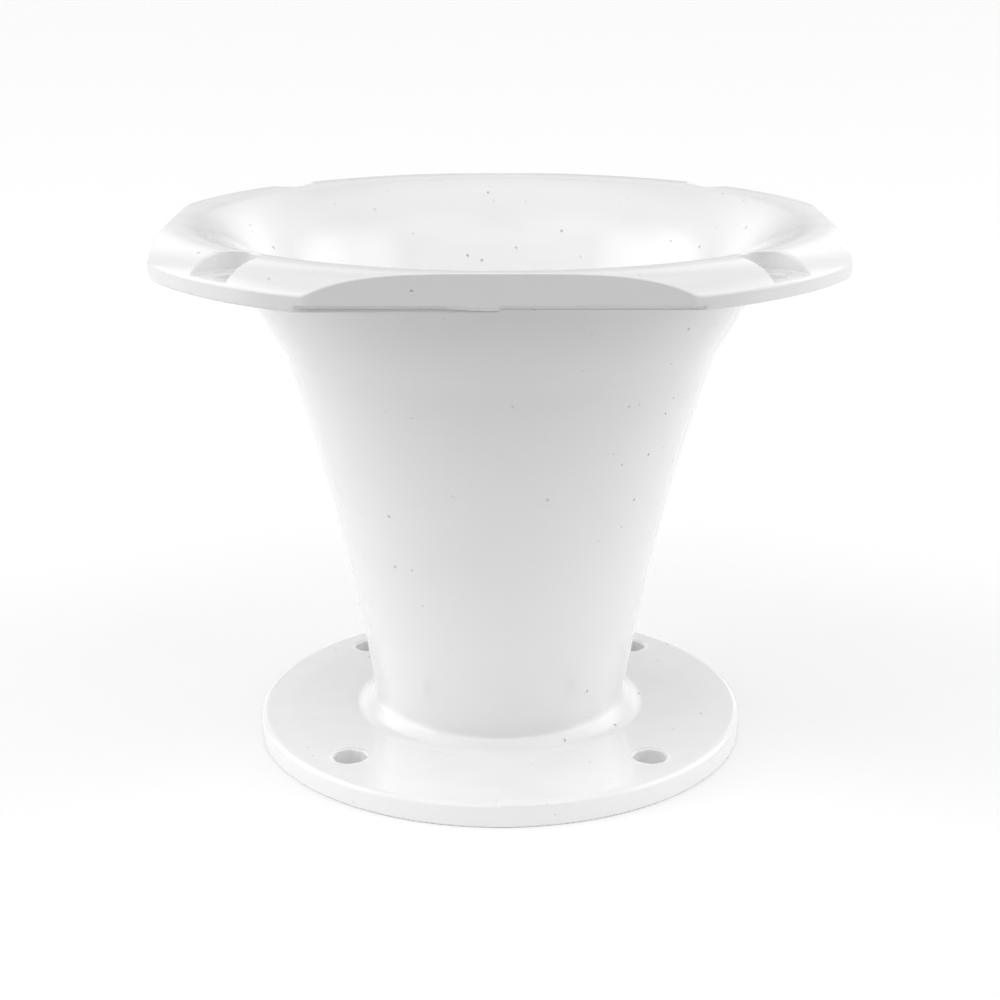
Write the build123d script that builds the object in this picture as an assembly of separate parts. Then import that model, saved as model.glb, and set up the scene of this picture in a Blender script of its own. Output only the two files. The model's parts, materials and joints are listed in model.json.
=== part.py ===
from build123d import *
import os
from math import cos, radians, sin, sqrt, tan

# A round horn flare for a compression driver: one casting, and the gasket let into the
# underside of its throat flange.
# Sizes are in millimetres and angles in degrees. The origin is the centre of the throat
# flange's underside, and +Z is the horn's axis, pointing out of the mouth.

HEIGHT = 130.6                # underside of the throat flange to the crest of the mouth rim
WALL = 5.8                    # thickness of the bell, square to its surface
CORNERS = (45, 135, 225, 315)     # where the flange holes and the screw seats stand
SIDES = (0, 90, 180, 270)         # where the rim's flats face

# Throat flange
THROAT_RADIUS = 25.4          # two inch exit of the driver
FLANGE_RADIUS = 61.0
FLANGE_THICKNESS = 6.2
FLANGE_TOP_ROUND = 1.5
FLANGE_BOTTOM_ROUND = 0.5
NECK_FILLET = 4.0             # between the flange's top and the outside of the bell
BOLT_CIRCLE = 101.6           # diameter: four inches
BOLT_HOLE_RADIUS = 4.0

# Bell: a long slow flare, a quick bend, and a straight cone that runs up to the rim.
# Each lean is the outward angle of the wall from the axis.
NECK_LEAN = 7.6
FLARE_TOP_LEAN = 18.0
CONE_LEAN = 28.8
FLARE_RADIUS = 520.0          # of the outside, seen in section
BEND_RADIUS = 14.0
MOUTH_FLARE_HEIGHT = 114.4    # where the inside leaves the cone and opens to the lip

# Mouth rim
LIP_RADIUS = 72.9             # inner edge of the crest
CREST_RADIUS = 77.4           # outer edge of the crest, where the roll begins
RIM_RADIUS = 86.8             # across the corners
RIM_FLAT = 77.4               # axis to each of the four flats
RIM_HEIGHT = 8.2
ROLL_RADIUS = 11.9
LIP_ROUND = 0.8
RIM_BOTTOM_ROUND = 0.5
RIM_ROOT_FILLET = 2.0         # between the outside of the cone and the rim's underside
UNDERCUT_HEIGHT = 1.4         # bevel along the bottom of each flat
UNDERCUT_DEPTH = 1.3

# Screw seats: slots open to the outside, one in each corner of the rim
SEAT_HALF_WIDTH = 6.1
SEAT_CENTRE_RADIUS = 79.7     # centre of the slot's round inner end
SEAT_FLOOR = 126.4
SCREW_CIRCLE = 162.0          # diameter
SCREW_HOLE_RADIUS = 2.75

# Gasket, flush with the flange's underside
GASKET_INNER_RADIUS = 28.5
GASKET_OUTER_RADIUS = 36.0
GASKET_THICKNESS = 1.5
GASKET_CLEARANCE = 0.2        # to each side of its groove

NECK_RADIUS = THROAT_RADIUS + WALL / cos(radians(NECK_LEAN))
RIM_UNDERSIDE = HEIGHT - RIM_HEIGHT
BAND_TOP = HEIGHT - ROLL_RADIUS + sqrt(ROLL_RADIUS ** 2 - (RIM_RADIUS - CREST_RADIUS) ** 2)
SAME = 0.05                   # two sizes nearer than this are one size
PAST = 5.0                    # how far a cutting tool runs past the face that it leaves by


def heading(lean):
    """The direction of a wall that leans outward from the axis, in the section's plane."""
    return (sin(radians(lean)), cos(radians(lean)))


def bell_wall(base_radius, offset, cone_height):
    """One side of the bell in section, from the flange's top to a height on the cone.

    The inside is the outside moved by offset, so its arcs are that much larger.
    """
    base = (base_radius, FLANGE_THICKNESS)
    flare = JernArc(
        base, heading(NECK_LEAN), FLARE_RADIUS + offset, NECK_LEAN - FLARE_TOP_LEAN)
    bend = JernArc(
        flare @ 1, heading(FLARE_TOP_LEAN), BEND_RADIUS + offset, FLARE_TOP_LEAN - CONE_LEAN)
    foot = bend @ 1
    top = (foot.X + (cone_height - foot.Y) * tan(radians(CONE_LEAN)), cone_height)
    return [flare, bend, Line(foot, top)]


def casting_section():
    """Half of the casting's section through its axis, with sharp edges."""
    lip = (LIP_RADIUS, HEIGHT)
    outside = bell_wall(NECK_RADIUS, 0, RIM_UNDERSIDE)
    inside = bell_wall(THROAT_RADIUS, WALL, MOUTH_FLARE_HEIGHT)
    mouth_flare = TangentArc(inside[-1] @ 1, lip, tangent=heading(CONE_LEAN))
    flange = Polyline(
        (THROAT_RADIUS, FLANGE_THICKNESS),
        (THROAT_RADIUS, 0),
        (FLANGE_RADIUS, 0),
        (FLANGE_RADIUS, FLANGE_THICKNESS),
        (NECK_RADIUS, FLANGE_THICKNESS))
    band = Polyline(outside[-1] @ 1, (RIM_RADIUS, RIM_UNDERSIDE), (RIM_RADIUS, BAND_TOP))
    roll = RadiusArc((RIM_RADIUS, BAND_TOP), (CREST_RADIUS, HEIGHT), -ROLL_RADIUS)
    crest = Line((CREST_RADIUS, HEIGHT), lip)
    outline = Curve() + [flange, *outside, band, roll, crest, mouth_flare, *inside]
    return Plane.XZ * make_face(outline)


def circles(body, height, smallest, largest):
    """The full-circle edges at a height whose radius lies between two sizes."""
    return [
        edge for edge in body.edges().filter_by(GeomType.CIRCLE)
        if abs(edge.arc_center.Z - height) < SAME
        and smallest - SAME < edge.radius < largest + SAME]


def turned_body():
    """The casting as a body of revolution, with its edges rounded."""
    body = revolve(casting_section(), Axis.Z)
    for height, smallest, largest, radius in (
            (FLANGE_THICKNESS, NECK_RADIUS, NECK_RADIUS, NECK_FILLET),
            (FLANGE_THICKNESS, FLANGE_RADIUS, FLANGE_RADIUS, FLANGE_TOP_ROUND),
            (0, FLANGE_RADIUS, FLANGE_RADIUS, FLANGE_BOTTOM_ROUND),
            (HEIGHT, LIP_RADIUS, LIP_RADIUS, LIP_ROUND),
            (RIM_UNDERSIDE, RIM_RADIUS, RIM_RADIUS, RIM_BOTTOM_ROUND),
            (RIM_UNDERSIDE, NECK_RADIUS, LIP_RADIUS, RIM_ROOT_FILLET)):
        body = fillet(circles(body, height, smallest, largest), radius)
    return body


def square_off(body):
    """Cut the rim's four flats and bevel their lower edges."""
    body &= Box(2 * RIM_FLAT, 2 * RIM_FLAT, 2 * (HEIGHT + PAST))
    bevel = Plane.XZ * make_face(Polyline(
        (RIM_FLAT - 2 * UNDERCUT_DEPTH, RIM_UNDERSIDE - UNDERCUT_HEIGHT),
        (RIM_FLAT + UNDERCUT_DEPTH, RIM_UNDERSIDE + 2 * UNDERCUT_HEIGHT),
        (RIM_FLAT + UNDERCUT_DEPTH, RIM_UNDERSIDE - UNDERCUT_HEIGHT),
        close=True))
    wedge = extrude(bevel, RIM_FLAT, both=True)
    for angle in SIDES:
        body -= Rot(0, 0, angle) * wedge
    return body


def screw_seat():
    """What one slot and the screw hole in its floor take away, on the +X side."""
    run = RIM_RADIUS - SEAT_CENTRE_RADIUS + PAST
    round_end = Pos(SEAT_CENTRE_RADIUS, 0) * Circle(SEAT_HALF_WIDTH)
    open_end = Pos(SEAT_CENTRE_RADIUS + run / 2, 0) * Rectangle(run, 2 * SEAT_HALF_WIDTH)
    slot = extrude(round_end + open_end, HEIGHT - SEAT_FLOOR + PAST)
    hole = Pos(SCREW_CIRCLE / 2, 0) * Cylinder(SCREW_HOLE_RADIUS, 2 * (RIM_HEIGHT + PAST))
    return Pos(0, 0, SEAT_FLOOR) * (slot + hole)


def flange_hole():
    """What one driver bolt's hole takes away, on the +X side."""
    depth = 2 * (FLANGE_THICKNESS + PAST)
    return Pos(BOLT_CIRCLE / 2, 0) * Cylinder(BOLT_HOLE_RADIUS, depth)


def gasket_ring(clearance):
    """The gasket, or with a clearance to each side, the groove that it lies in."""
    outer = Circle(GASKET_OUTER_RADIUS + clearance)
    inner = Circle(GASKET_INNER_RADIUS - clearance)
    return extrude(outer - inner, GASKET_THICKNESS)


def horn_casting():
    body = square_off(turned_body()) - gasket_ring(GASKET_CLEARANCE)
    for angle in CORNERS:
        body -= Rot(0, 0, angle) * screw_seat()
        body -= Rot(0, 0, angle) * flange_hole()
    return body


def throat_gasket():
    return gasket_ring(0)


os.makedirs("parts", exist_ok=True)
for piece in (horn_casting, throat_gasket):
    export_step(piece(), f"parts/{piece.__name__}.step")
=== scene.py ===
import json

import bpy
import numpy as np
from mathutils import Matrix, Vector


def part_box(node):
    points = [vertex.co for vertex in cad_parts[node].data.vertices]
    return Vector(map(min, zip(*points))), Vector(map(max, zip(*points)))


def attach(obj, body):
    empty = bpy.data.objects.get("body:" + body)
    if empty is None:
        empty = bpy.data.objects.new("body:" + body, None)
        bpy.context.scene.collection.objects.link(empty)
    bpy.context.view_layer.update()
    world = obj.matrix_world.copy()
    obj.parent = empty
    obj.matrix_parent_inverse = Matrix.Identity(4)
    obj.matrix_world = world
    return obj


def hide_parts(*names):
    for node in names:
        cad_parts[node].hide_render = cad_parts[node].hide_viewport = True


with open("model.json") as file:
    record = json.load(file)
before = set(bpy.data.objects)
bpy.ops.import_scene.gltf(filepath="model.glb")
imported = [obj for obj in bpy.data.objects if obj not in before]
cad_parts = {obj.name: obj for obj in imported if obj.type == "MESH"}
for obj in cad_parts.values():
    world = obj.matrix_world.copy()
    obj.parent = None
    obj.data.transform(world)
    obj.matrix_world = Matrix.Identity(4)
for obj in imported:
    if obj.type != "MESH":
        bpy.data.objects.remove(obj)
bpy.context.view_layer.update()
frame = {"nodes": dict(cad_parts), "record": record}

# The horn is one painted casting. Its mesh starts as an even skin over the CAD casting, and
# then every point is moved onto the surface that the function casting() below describes, in
# millimetres: the CAD part's own sizes, with the soft edges of thick paint, the steps where
# the mould's halves meet, and a square undercut below the front and back flats.
MM = 0.001

# ---------------------------------------------------------------- sizes, in mm and degrees
mounts = {mount["name"]: mount for mount in frame["record"]["mounts"]}
casting_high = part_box("horn_casting")[1]
gasket_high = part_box("throat_gasket")[1]

HEIGHT = casting_high.z / MM
RIM_FLAT = casting_high.x / MM
FLANGE_THICKNESS = mounts["throat"]["dims"]["length_mm"]
THROAT_RADIUS = mounts["throat"]["dims"]["r_mm"]
BOLT_RADIUS = mounts["driver_bolts"]["dims"]["pcd_mm"] / 2
BOLT_HOLE_RADIUS = mounts["driver_bolts"]["dims"]["hole_r_mm"]
SCREW_RADIUS = mounts["panel_screws"]["dims"]["pcd_mm"] / 2
SCREW_HOLE_RADIUS = mounts["panel_screws"]["dims"]["hole_r_mm"]
SEAT_FLOOR = mounts["panel_screws"]["pos_m"][2] / MM
RIM_UNDERSIDE = mounts["panel_face"]["pos_m"][2] / MM
GASKET_OUTER_RADIUS = gasket_high.x / MM
GASKET_THICKNESS = gasket_high.z / MM

WALL = 5.8
FLANGE_RADIUS = 61.0
NECK_LEAN = np.radians(7.6)
FLARE_TOP_LEAN = np.radians(18.0)
CONE_LEAN = np.radians(28.8)
FLARE_RADIUS = 520.0
BEND_RADIUS = 14.0
MOUTH_FLARE_HEIGHT = 114.4
LIP_RADIUS = 72.9
CREST_RADIUS = 77.4
RIM_RADIUS = 86.8
ROLL_RADIUS = 11.9
UNDERCUT_HEIGHT = 1.4         # along the bottom of each flat
UNDERCUT_DEPTH = 1.3
SEAT_HALF_WIDTH = 6.1
SEAT_CENTRE_RADIUS = 79.7
GASKET_INNER_RADIUS = 28.5
GASKET_CLEARANCE = 0.2
NECK_RADIUS = THROAT_RADIUS + WALL / np.cos(NECK_LEAN)
LIP_OVERRUN = 0.25            # how far the mouth flare's curve is carried past the lip, radians
BELL_OVERLAP = 1.0            # how far the bell's outside runs up into the rim

# How softly each edge is rounded, as a radius
NECK_FILLET = 1.0
RIM_ROOT_FILLET = 2.0
FLANGE_TOP_ROUND = 1.5
CREST_ROUND = 0.9
FLAT_ROUND = 0.3
RIM_BOTTOM_ROUND = 0.2
SEAT_ROUND = 0.35
HOLE_ROUND = 0.3
SMALL_ROUND = 0.3
GROOVE_ROUND = 0.15

# The bead of filler round the neck: its legs along the flange and up the neck
BEAD_WIDTH = 3.9
BEAD_HEIGHT = 3.2

# Marks of the sand casting
FLANGE_STEP = 0.3             # the mould's right half stood this much higher than its left half
FLANGE_STEP_FADE = (52.0, 60.0)   # the radii between which the flange's step appears
RIM_STEP = 0.6
RIM_DROP = 0.15               # how far the left half's underside hangs below the CAD part's
STEP_WIDTH = 0.5              # how far each step takes to run out
HOLE_PAINT = 0.15             # thickness of the paint in a bolt hole
HOLE_BURR = 0.07              # how far the hole's top edge strays from a circle
BURR_LOBES = (3, 8)           # waves round a hole's edge, a slow one and a quick one
BURR_TURN = (0.08, 0.05)      # turns each wave, in radians for each mm that the hole is off axis
HOLE_RIDGE = 0.14             # height of the paint drawn up round the hole
RIDGE_OFFSET = 0.5            # from the hole's edge to the ridge's crest
RIDGE_WIDTH = 0.4
UNDERCUT_FADE = (-13.0, -2.0)     # where the left half's undercut thins out, along X
UNDERCUT_LEFT = 0.35          # the share of its height that is left there


# ---------------------------------------------------------------- the casting's surface
def arc(start, lean_from, lean_to, radius, steps=160):
    """Radii and heights along an arc of wall that starts at (radius, height) start."""
    lean = np.linspace(lean_from, lean_to, steps)
    across = start[0] + radius * (np.cos(lean_from) - np.cos(lean))
    up = start[1] + radius * (np.sin(lean) - np.sin(lean_from))
    return across, up, lean


def wall(base_radius, offset, cone_top):
    """One side of the bell as three matching lists: radius, height and lean."""
    flare = arc(
        (base_radius, FLANGE_THICKNESS), NECK_LEAN, FLARE_TOP_LEAN, FLARE_RADIUS + offset)
    bend = arc(
        (flare[0][-1], flare[1][-1]), FLARE_TOP_LEAN, CONE_LEAN, BEND_RADIUS + offset)
    rise = cone_top - bend[1][-1]
    end = (bend[0][-1] + rise * np.tan(CONE_LEAN), cone_top)
    cone = ([end[0]], [end[1]], [CONE_LEAN])
    foot = ([base_radius], [-HEIGHT], [0.0])
    return [np.concatenate(parts) for parts in zip(foot, flare, bend, cone)], end


def inner_wall():
    """The inside of the bell: the wall's inner side, and the mouth flare up to the lip."""
    (across, up, lean), start = wall(THROAT_RADIUS, WALL, MOUTH_FLARE_HEIGHT)
    run, rise = LIP_RADIUS - start[0], HEIGHT - start[1]
    lip_lean = 2 * np.arctan2(run, rise) - CONE_LEAN
    radius = np.hypot(run, rise) / (2 * np.sin((lip_lean - CONE_LEAN) / 2))
    flare = arc(start, CONE_LEAN, lip_lean + LIP_OVERRUN, radius)
    return [np.concatenate(parts) for parts in zip((across, up, lean), flare)]


OUTSIDE = wall(NECK_RADIUS, 0, RIM_UNDERSIDE + ROLL_RADIUS)[0]
INSIDE = inner_wall()


def beyond(side, r, z):
    """How far a point at radius r and height z lies outside one side of the bell."""
    across, up, lean = side
    foot = z < FLANGE_THICKNESS
    wall_radius = np.where(foot, across[0], np.interp(z, up, across))
    return (r - wall_radius) * np.cos(np.where(foot, 0, np.interp(z, up, lean)))


def both(a, b, radius):
    """What two shapes share, with the edge between them rounded."""
    edge = np.hypot(np.maximum(a + radius, 0), np.maximum(b + radius, 0))
    return np.minimum(np.maximum(a, b), -radius) + edge


def either(a, b, radius):
    """Two shapes joined, with a fillet between them."""
    corner = np.hypot(np.maximum(radius - a, 0), np.maximum(radius - b, 0))
    return np.maximum(np.minimum(a, b), radius) - corner


def blend(value, start, end):
    """A smooth change from 0 at start to 1 at end."""
    part = np.clip((value - start) / (end - start), 0, 1)
    return part * part * (3 - 2 * part)


def bolt_holes(x, y, z, along, aside):
    """The four painted bolt holes, with an edge that strays a little from a circle."""
    hole = np.hypot(along - BOLT_RADIUS, aside) - BOLT_HOLE_RADIUS
    centre = BOLT_RADIUS / np.sqrt(2)
    round_hole = np.arctan2(abs(x) - centre, abs(y) - centre)
    burr = np.sin(BURR_LOBES[0] * round_hole + BURR_TURN[0] * x)
    burr = burr + np.sin(BURR_LOBES[1] * round_hole + BURR_TURN[1] * y)
    return hole + HOLE_PAINT + HOLE_BURR * burr * blend(z, 0, FLANGE_THICKNESS)


def flange_and_neck(r, z, right_half, bolt):
    """The flange, the bell's outside and the bead of filler between them."""
    lowered = FLANGE_STEP * (1 - right_half) * blend(r, *FLANGE_STEP_FADE)
    ridge = HOLE_RIDGE * np.exp(-((bolt - RIDGE_OFFSET) / RIDGE_WIDTH) ** 2)
    flange_top = FLANGE_THICKNESS - lowered + ridge
    flange = both(r - FLANGE_RADIUS, z - flange_top, FLANGE_TOP_ROUND)
    bell = np.maximum(beyond(OUTSIDE, r, z), z - RIM_UNDERSIDE - BELL_OVERLAP)
    bead = beyond(OUTSIDE, r, z) / BEAD_WIDTH + (z - flange_top) / BEAD_HEIGHT - 1
    bead = bead / np.hypot(1 / BEAD_WIDTH, 1 / BEAD_HEIGHT)
    return either(either(flange, bell, NECK_FILLET), bead, NECK_FILLET)


def mouth_rim(r, z, right_half):
    """The rim before its flats are cut: a roll on top of a band, and the mould's step below."""
    roll_height = HEIGHT - ROLL_RADIUS
    roll = np.where(
        r > CREST_RADIUS,
        np.hypot(r - CREST_RADIUS, np.maximum(z - roll_height, 0)) - ROLL_RADIUS,
        z - HEIGHT)
    rim_bottom = RIM_UNDERSIDE - RIM_DROP + RIM_STEP * right_half
    return both(both(roll, r - RIM_RADIUS, FLAT_ROUND), rim_bottom - z, RIM_BOTTOM_ROUND)


def square_off(metal, x, y, z, right_half):
    """Cut the rim's four flats: the side ones are bevelled below, the others undercut square."""
    for distance in (abs(x), abs(y)):
        metal = both(metal, distance - RIM_FLAT, FLAT_ROUND)
    slope = np.arctan2(UNDERCUT_DEPTH, UNDERCUT_HEIGHT)
    above = np.maximum(z - RIM_UNDERSIDE, 0) - UNDERCUT_HEIGHT
    side_bevel = (abs(x) - RIM_FLAT) * np.cos(slope) - above * np.sin(slope)
    metal = both(metal, side_bevel, RIM_BOTTOM_ROUND)

    thin = blend(x, *UNDERCUT_FADE) * (1 - right_half)
    undercut = UNDERCUT_HEIGHT * (1 - (1 - UNDERCUT_LEFT) * thin)
    ledge = np.maximum(RIM_FLAT - UNDERCUT_DEPTH - abs(y), z - RIM_UNDERSIDE - undercut)
    return both(metal, -ledge, RIM_BOTTOM_ROUND)


def cut_screw_seats(metal, z, along, aside):
    """Take the screw seats' slots and the holes in their floors away."""
    past_end = np.maximum(SEAT_CENTRE_RADIUS - along, 0)
    slot = both(np.hypot(past_end, aside) - SEAT_HALF_WIDTH, SEAT_FLOOR - z, SMALL_ROUND)
    metal = both(metal, -slot, SEAT_ROUND)
    screw = np.hypot(along - SCREW_RADIUS, aside) - SCREW_HOLE_RADIUS
    return both(metal, -screw, HOLE_ROUND)


def cut_gasket_groove(metal, r, z):
    """Take the groove that the gasket lies in away."""
    middle = (GASKET_INNER_RADIUS + GASKET_OUTER_RADIUS) / 2
    half = (GASKET_OUTER_RADIUS - GASKET_INNER_RADIUS) / 2 + GASKET_CLEARANCE
    groove = np.maximum(abs(r - middle) - half, z - GASKET_THICKNESS)
    return both(metal, -groove, GROOVE_ROUND)


def casting(points):
    """Roughly how far each point lies outside the casting's surface, in millimetres."""
    x, y, z = points.T
    r = np.hypot(x, y)
    along = (abs(x) + abs(y)) / np.sqrt(2)          # toward the nearest corner of the rim
    aside = abs(abs(x) - abs(y)) / np.sqrt(2)       # and square to that
    right_half = blend(x, -STEP_WIDTH, STEP_WIDTH)
    bolt = bolt_holes(x, y, z, along, aside)

    metal = flange_and_neck(r, z, right_half, bolt)
    metal = either(metal, mouth_rim(r, z, right_half), RIM_ROOT_FILLET)
    metal = both(metal, -z, SMALL_ROUND)
    metal = both(metal, -beyond(INSIDE, r, z), CREST_ROUND)
    metal = square_off(metal, x, y, z, right_half)
    metal = cut_screw_seats(metal, z, along, aside)
    metal = both(metal, -np.maximum(bolt, z - 2 * FLANGE_THICKNESS), HOLE_ROUND)
    return cut_gasket_groove(metal, r, z)


MOST_MOVE = 0.5               # of a point in one round of settling
LEAST_SLOPE = 0.5             # of the field, so that no point overshoots where it is nearly flat


def gradient(field, points, step=0.02):
    """A field's slope at each point: the way in which it grows, and how fast."""
    slopes = []
    for axis in np.eye(3) * step:
        slopes.append((field(points + axis) - field(points - axis)) / (2 * step))
    return np.stack(slopes, 1)


def settle(mesh, field, rounds):
    """Move a mesh's points onto a field's zero surface, and return them in millimetres."""
    points = np.empty(len(mesh.vertices) * 3)
    mesh.vertices.foreach_get("co", points)
    points = points.reshape(-1, 3) / MM
    for _ in range(rounds):
        slope = gradient(field, points)
        size = np.maximum((slope ** 2).sum(1), LEAST_SLOPE ** 2)
        move = (field(points) / size)[:, None] * slope
        length = np.maximum(np.linalg.norm(move, axis=1, keepdims=True), 1e-9)
        points -= move * np.minimum(1, MOST_MOVE / length)
    mesh.vertices.foreach_set("co", (points * MM).ravel())
    mesh.update()
    return points


def link(name, data):
    """A new object in the scene."""
    piece = bpy.data.objects.new(name, data)
    bpy.context.scene.collection.objects.link(piece)
    return piece


def apply_modifiers(piece):
    """Make a piece's modifiers part of its mesh."""
    shown = piece.evaluated_get(bpy.context.evaluated_depsgraph_get())
    piece.data = bpy.data.meshes.new_from_object(shown)
    piece.modifiers.clear()


def shade_by_field(mesh, field, points):
    """Give every point the field's own direction as its normal."""
    slope = gradient(field, points)
    normals = slope / np.linalg.norm(slope, axis=1, keepdims=True)
    mesh.polygons.foreach_set("use_smooth", [True] * len(mesh.polygons))
    mesh.normals_split_custom_set_from_vertices(normals)


# ---------------------------------------------------------------- the horn
SKIN_STEP = 0.45              # size of the even skin's squares
HORN_TRIANGLES = 196_000
TIGHT_TURN = 0.04             # one less the cosine of the turn from a point to the next
TIGHT_RINGS = 2               # how many points away from a tight turn are kept as well


def smooth_places(piece):
    """Name the points that may be thinned out: those where the surface turns only slowly."""
    mesh = piece.data
    points = np.empty(len(mesh.vertices) * 3)
    mesh.vertices.foreach_get("co", points)
    slope = gradient(casting, points.reshape(-1, 3) / MM)
    normals = slope / np.linalg.norm(slope, axis=1, keepdims=True)
    ends = np.empty(len(mesh.edges) * 2, int)
    mesh.edges.foreach_get("vertices", ends)
    ends = ends.reshape(-1, 2)
    turn = 1 - (normals[ends[:, 0]] * normals[ends[:, 1]]).sum(1)
    sharpest = np.zeros(len(normals))
    for _ in range(1 + TIGHT_RINGS):
        for end in ends.T:
            np.maximum.at(sharpest, end, turn)
        turn = np.maximum(sharpest[ends[:, 0]], sharpest[ends[:, 1]])
    group = piece.vertex_groups.new(name="smooth")
    group.add(np.flatnonzero(sharpest < TIGHT_TURN).tolist(), 1, "REPLACE")
    return group.name


def build_horn():
    """The painted casting: an even skin, settled on its surface and thinned where it is smooth."""
    horn = link("painted_horn", frame["nodes"]["horn_casting"].data.copy())
    skin = horn.modifiers.new("skin", "REMESH")
    skin.mode = "VOXEL"
    skin.voxel_size = SKIN_STEP * MM
    apply_modifiers(horn)
    settle(horn.data, casting, 3)
    thin = horn.modifiers.new("thin", "DECIMATE")
    thin.vertex_group = smooth_places(horn)
    thin.ratio = HORN_TRIANGLES / (2 * len(horn.data.polygons))
    apply_modifiers(horn)
    horn.vertex_groups.clear()
    points = settle(horn.data, casting, 4)
    shade_by_field(horn.data, casting, points)
    return horn


# ---------------------------------------------------------------- materials
def new_material(name):
    """A new node material with one plain shader: the material, its tree and the shader."""
    material = bpy.data.materials.new(name)
    material.use_nodes = True
    tree = material.node_tree
    tree.nodes.clear()
    output = tree.nodes.new("ShaderNodeOutputMaterial")
    shader = tree.nodes.new("ShaderNodeBsdfPrincipled")
    tree.links.new(shader.outputs["BSDF"], output.inputs["Surface"])
    return material, tree, shader


def map_range(tree, value, source, target):
    """A value carried smoothly from one range to another, and held at the ends."""
    node = tree.nodes.new("ShaderNodeMapRange")
    node.interpolation_type = "SMOOTHSTEP"
    node.inputs["From Min"].default_value, node.inputs["From Max"].default_value = source
    node.inputs["To Min"].default_value, node.inputs["To Max"].default_value = target
    tree.links.new(value, node.inputs["Value"])
    return node.outputs["Result"]


def add_up(tree, first, second):
    """The sum of two values."""
    node = tree.nodes.new("ShaderNodeMath")
    tree.links.new(first, node.inputs[0])
    tree.links.new(second, node.inputs[1])
    return node.outputs["Value"]


def noise(tree, place, scale, detail=2):
    """Cloudy variation about 0.5; scale is in lumps to the metre."""
    node = tree.nodes.new("ShaderNodeTexNoise")
    node.inputs["Scale"].default_value = scale
    node.inputs["Detail"].default_value = detail
    tree.links.new(place, node.inputs["Vector"])
    return node.outputs["Fac"]


def specks(tree, place, spacing, radius, share):
    """Round spots, 1 in their middle, in a share of cells that are a spacing apart."""
    cells = tree.nodes.new("ShaderNodeTexVoronoi")
    cells.inputs["Scale"].default_value = 1 / spacing
    tree.links.new(place, cells.inputs["Vector"])
    spot = map_range(tree, cells.outputs["Distance"], (0, radius / spacing), (1, 0))
    chosen = tree.nodes.new("ShaderNodeMath")
    chosen.operation = "LESS_THAN"
    chosen.inputs[1].default_value = share
    tree.links.new(cells.outputs["Color"], chosen.inputs[0])
    kept = tree.nodes.new("ShaderNodeMath")
    kept.operation = "MULTIPLY"
    tree.links.new(spot, kept.inputs[0])
    tree.links.new(chosen.outputs["Value"], kept.inputs[1])
    return kept.outputs["Value"]


def bump(tree, height, distance, under=None, inward=False):
    """Relief of a height from 0 to distance, in metres, laid over the relief under it."""
    node = tree.nodes.new("ShaderNodeBump")
    node.inputs["Distance"].default_value = distance
    node.invert = inward
    tree.links.new(height, node.inputs["Height"])
    if under is not None:
        tree.links.new(under, node.inputs["Normal"])
    return node.outputs["Normal"]


PAINT_RELIEF = (              # lumps to the metre, and their height in metres
    (60, 0.00022),
    (260, 0.00002),
    (900, 0.000004))
PIT_SPACING = 0.0065
PIT_RADIUS = 0.0005
PIT_DEPTH = 0.0005
DUST_SPACING = 0.006
DUST_RADIUS = 0.0004
DUST_HEIGHT = 0.00025
SPECK_SHARE = 0.6             # of the places where a pit or a speck of dust could be
PAINT_ROUGHNESS = (0.16, 0.26)
RUBBER_ROUGHNESS = (0.62, 0.85)
RUBBER_BLACK = (0.012, 0.035)
NOISE_SPAN = (0.3, 0.7)       # nearly all of a noise's values lie between these
PAINT_WHITE = (0.80, 0.765)   # where the paint is clean, and in the pits, darkened as painted shade; random dull patches fall between


def white_paint():
    """Gloss white enamel that has flowed over a sand casting, with pits and specks of dust; the
    pits are also darker in colour, as painted shade.
    """
    material, tree, shader = new_material("white_paint")
    place = tree.nodes.new("ShaderNodeTexCoord").outputs["Object"]
    relief = None
    for scale, height in PAINT_RELIEF:
        relief = bump(tree, noise(tree, place, scale, 1), height, relief)
    pits = specks(tree, place, PIT_SPACING, PIT_RADIUS, SPECK_SHARE)
    relief = bump(tree, pits, PIT_DEPTH, relief, inward=True)
    dust = specks(tree, place, DUST_SPACING, DUST_RADIUS, SPECK_SHARE)
    relief = bump(tree, dust, DUST_HEIGHT, relief)
    tree.links.new(relief, shader.inputs["Normal"])
    tree.links.new(relief, shader.inputs["Coat Normal"])
    roughness = map_range(tree, noise(tree, place, 90, 4), NOISE_SPAN, PAINT_ROUGHNESS)
    tree.links.new(roughness, shader.inputs["Roughness"])
    # painted shade: the pits are darkened in colour as well as sunk by the bump; the slow noise
    # adds random dull patches
    dull_and_pit_shade = add_up(tree, noise(tree, place, 35), pits)
    colour = map_range(tree, dull_and_pit_shade, (0.35, 1.2), PAINT_WHITE)
    tree.links.new(colour, shader.inputs["Base Color"])
    shader.inputs["Coat Weight"].default_value = 0.9
    shader.inputs["Coat Roughness"].default_value = 0.05
    return material


def black_rubber():
    """Cut rubber sheet: matt, with a fine grain and a little chalky bloom."""
    material, tree, shader = new_material("gasket_rubber")
    place = tree.nodes.new("ShaderNodeTexCoord").outputs["Object"]
    relief = bump(tree, noise(tree, place, 500), 0.00008)
    relief = bump(tree, noise(tree, place, 2500, 1), 0.00003, relief)
    tree.links.new(relief, shader.inputs["Normal"])
    colour = map_range(tree, noise(tree, place, 150, 5), (0.3, 0.8), RUBBER_BLACK)
    tree.links.new(colour, shader.inputs["Base Color"])
    roughness = map_range(tree, noise(tree, place, 300, 3), NOISE_SPAN, RUBBER_ROUGHNESS)
    tree.links.new(roughness, shader.inputs["Roughness"])
    return material


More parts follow.
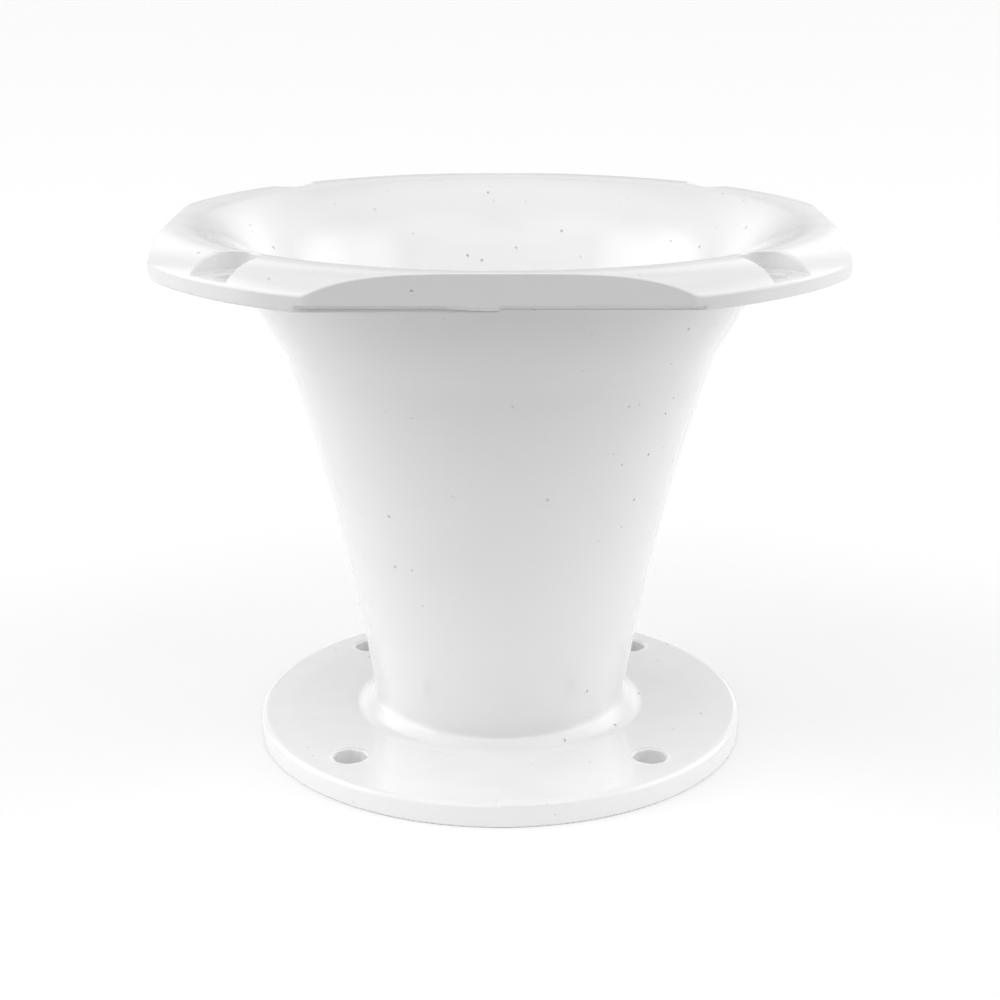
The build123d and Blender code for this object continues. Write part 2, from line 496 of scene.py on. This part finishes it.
# ---------------------------------------------------------------- studio
FLOOR_REACH = 10.0
WHITE_EDGE = (-0.24, -0.13)       # where the floor turns from mid grey painted shade to white, along Y, and its painted glow comes in
# painted shade: the front's mid grey darkens the light bounced onto the object's front
FLOOR_PAINTED_SHADE_AND_WHITE = (0.2, 0.85)
FLOOR_PAINTED_GLOW = (0, 0.06)            # painted light: the white part glows a little, which pales the object's shadow on it
SOFTBOXES = (                     # direction, half widths of the bright middle and the whole
                                  # in degrees, and brightness
    ((-1.0, 0.05, 0.30), (14, 42), 2.27),
    ((1.0, 0.05, 0.30), (14, 42), 1.92),
    ((-0.7, 0.70, 0.30), (14, 42), 0.65),
    ((0.0, 1.00, 0.20), (14, 42), 0.62),
    ((0.7, 0.70, 0.30), (14, 42), 0.82),
    ((0.0, 0.00, 1.00), (17, 50), 0.60),
    ((-0.6, -0.60, 0.75), (14, 42), 1.02),
    ((0.6, -0.60, 0.75), (14, 42), 0.95))


def build_floor():
    """A flat floor: white with a faint painted glow round and behind the object, mid grey as
    painted shade in front of the main view.
    """
    corners = [(x, y, 0) for x, y in ((-1, -1), (1, -1), (1, 1), (-1, 1))]
    mesh = bpy.data.meshes.new("floor")
    mesh.from_pydata([Vector(corner) * FLOOR_REACH for corner in corners], [], [(0, 1, 2, 3)])
    floor = link("floor", mesh)
    material, tree, shader = new_material("pale_floor")
    place = tree.nodes.new("ShaderNodeTexCoord").outputs["Object"]
    split = tree.nodes.new("ShaderNodeSeparateXYZ")
    tree.links.new(place, split.inputs["Vector"])
    # painted shade in front of the main view, white elsewhere
    shade = map_range(tree, split.outputs["Y"], WHITE_EDGE, FLOOR_PAINTED_SHADE_AND_WHITE)
    tree.links.new(shade, shader.inputs["Base Color"])
    shader.inputs["Roughness"].default_value = 0.9
    shader.inputs["Specular IOR Level"].default_value = 0.1
    # painted light: a faint glow on the white part of the floor
    painted_glow = map_range(tree, split.outputs["Y"], WHITE_EDGE, FLOOR_PAINTED_GLOW)
    shader.inputs["Emission Color"].default_value = (1, 1, 1, 1)
    tree.links.new(painted_glow, shader.inputs["Emission Strength"])
    floor.data.materials.append(material)


def build_sky():
    """Soft boxes all round a dark room, as patches of light on the sky."""
    world = bpy.data.worlds.new("studio")
    bpy.context.scene.world = world
    world.use_nodes = True
    tree = world.node_tree
    direction = tree.nodes.new("ShaderNodeTexCoord").outputs["Generated"]
    light = None
    for axis, widths, brightness in SOFTBOXES:
        facing = tree.nodes.new("ShaderNodeVectorMath")
        facing.operation = "DOT_PRODUCT"
        facing.inputs[1].default_value = Vector(axis).normalized()
        tree.links.new(direction, facing.inputs[0])
        inside, edge = np.cos(np.radians(widths))
        box = map_range(tree, facing.outputs["Value"], (edge, inside), (0, brightness))
        light = box if light is None else add_up(tree, light, box)
    tree.links.new(light, tree.nodes["Background"].inputs["Color"])


KEY_WIDTH = 3.4
KEY_HEIGHT = 1.2
KEY_BRIGHTNESS = 0.6
KEY_DISTANCE = 2.0
KEY_ELEVATION = np.radians(46)


def build_key_light():
    """A wide soft box high in front, above and behind the camera."""
    data = bpy.data.lights.new("key_light", "AREA")
    data.shape = "RECTANGLE"
    data.size = KEY_WIDTH
    data.size_y = KEY_HEIGHT
    data.energy = KEY_BRIGHTNESS * np.pi * KEY_WIDTH * KEY_HEIGHT
    lamp = link("key_light", data)
    lamp.location = (
        0, -KEY_DISTANCE * np.cos(KEY_ELEVATION), KEY_DISTANCE * np.sin(KEY_ELEVATION))
    lamp.rotation_euler = (np.pi / 2 - KEY_ELEVATION, 0, 0)


# ---------------------------------------------------------------- camera, in metres
CAMERA_DISTANCE = 0.468
CAMERA_PITCH = np.radians(17.18)
AIM_HEIGHT = 0.05944
FOCAL_LENGTH = 67.48          # of the lens, in mm
SENSOR_WIDTH = 36


def build_camera():
    """The camera, in front of the object and looking a little down on it."""
    data = bpy.data.cameras.new("camera")
    data.lens = FOCAL_LENGTH
    data.sensor_width = SENSOR_WIDTH
    data.clip_start = 0.01
    camera = link("camera", data)
    camera.location = (
        0, -CAMERA_DISTANCE * np.cos(CAMERA_PITCH),
        AIM_HEIGHT + CAMERA_DISTANCE * np.sin(CAMERA_PITCH))
    camera.rotation_euler = (np.pi / 2 - CAMERA_PITCH, 0, 0)
    bpy.context.scene.camera = camera


# ---------------------------------------------------------------- the scene
horn = build_horn()
horn.data.materials.clear()
horn.data.materials.append(white_paint())
frame["nodes"]["throat_gasket"].material_slots[0].material = black_rubber()
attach(horn, "root")
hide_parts("horn_casting")
build_floor()
build_sky()
build_key_light()
build_camera()
bpy.context.scene.view_settings.view_transform = "Standard"
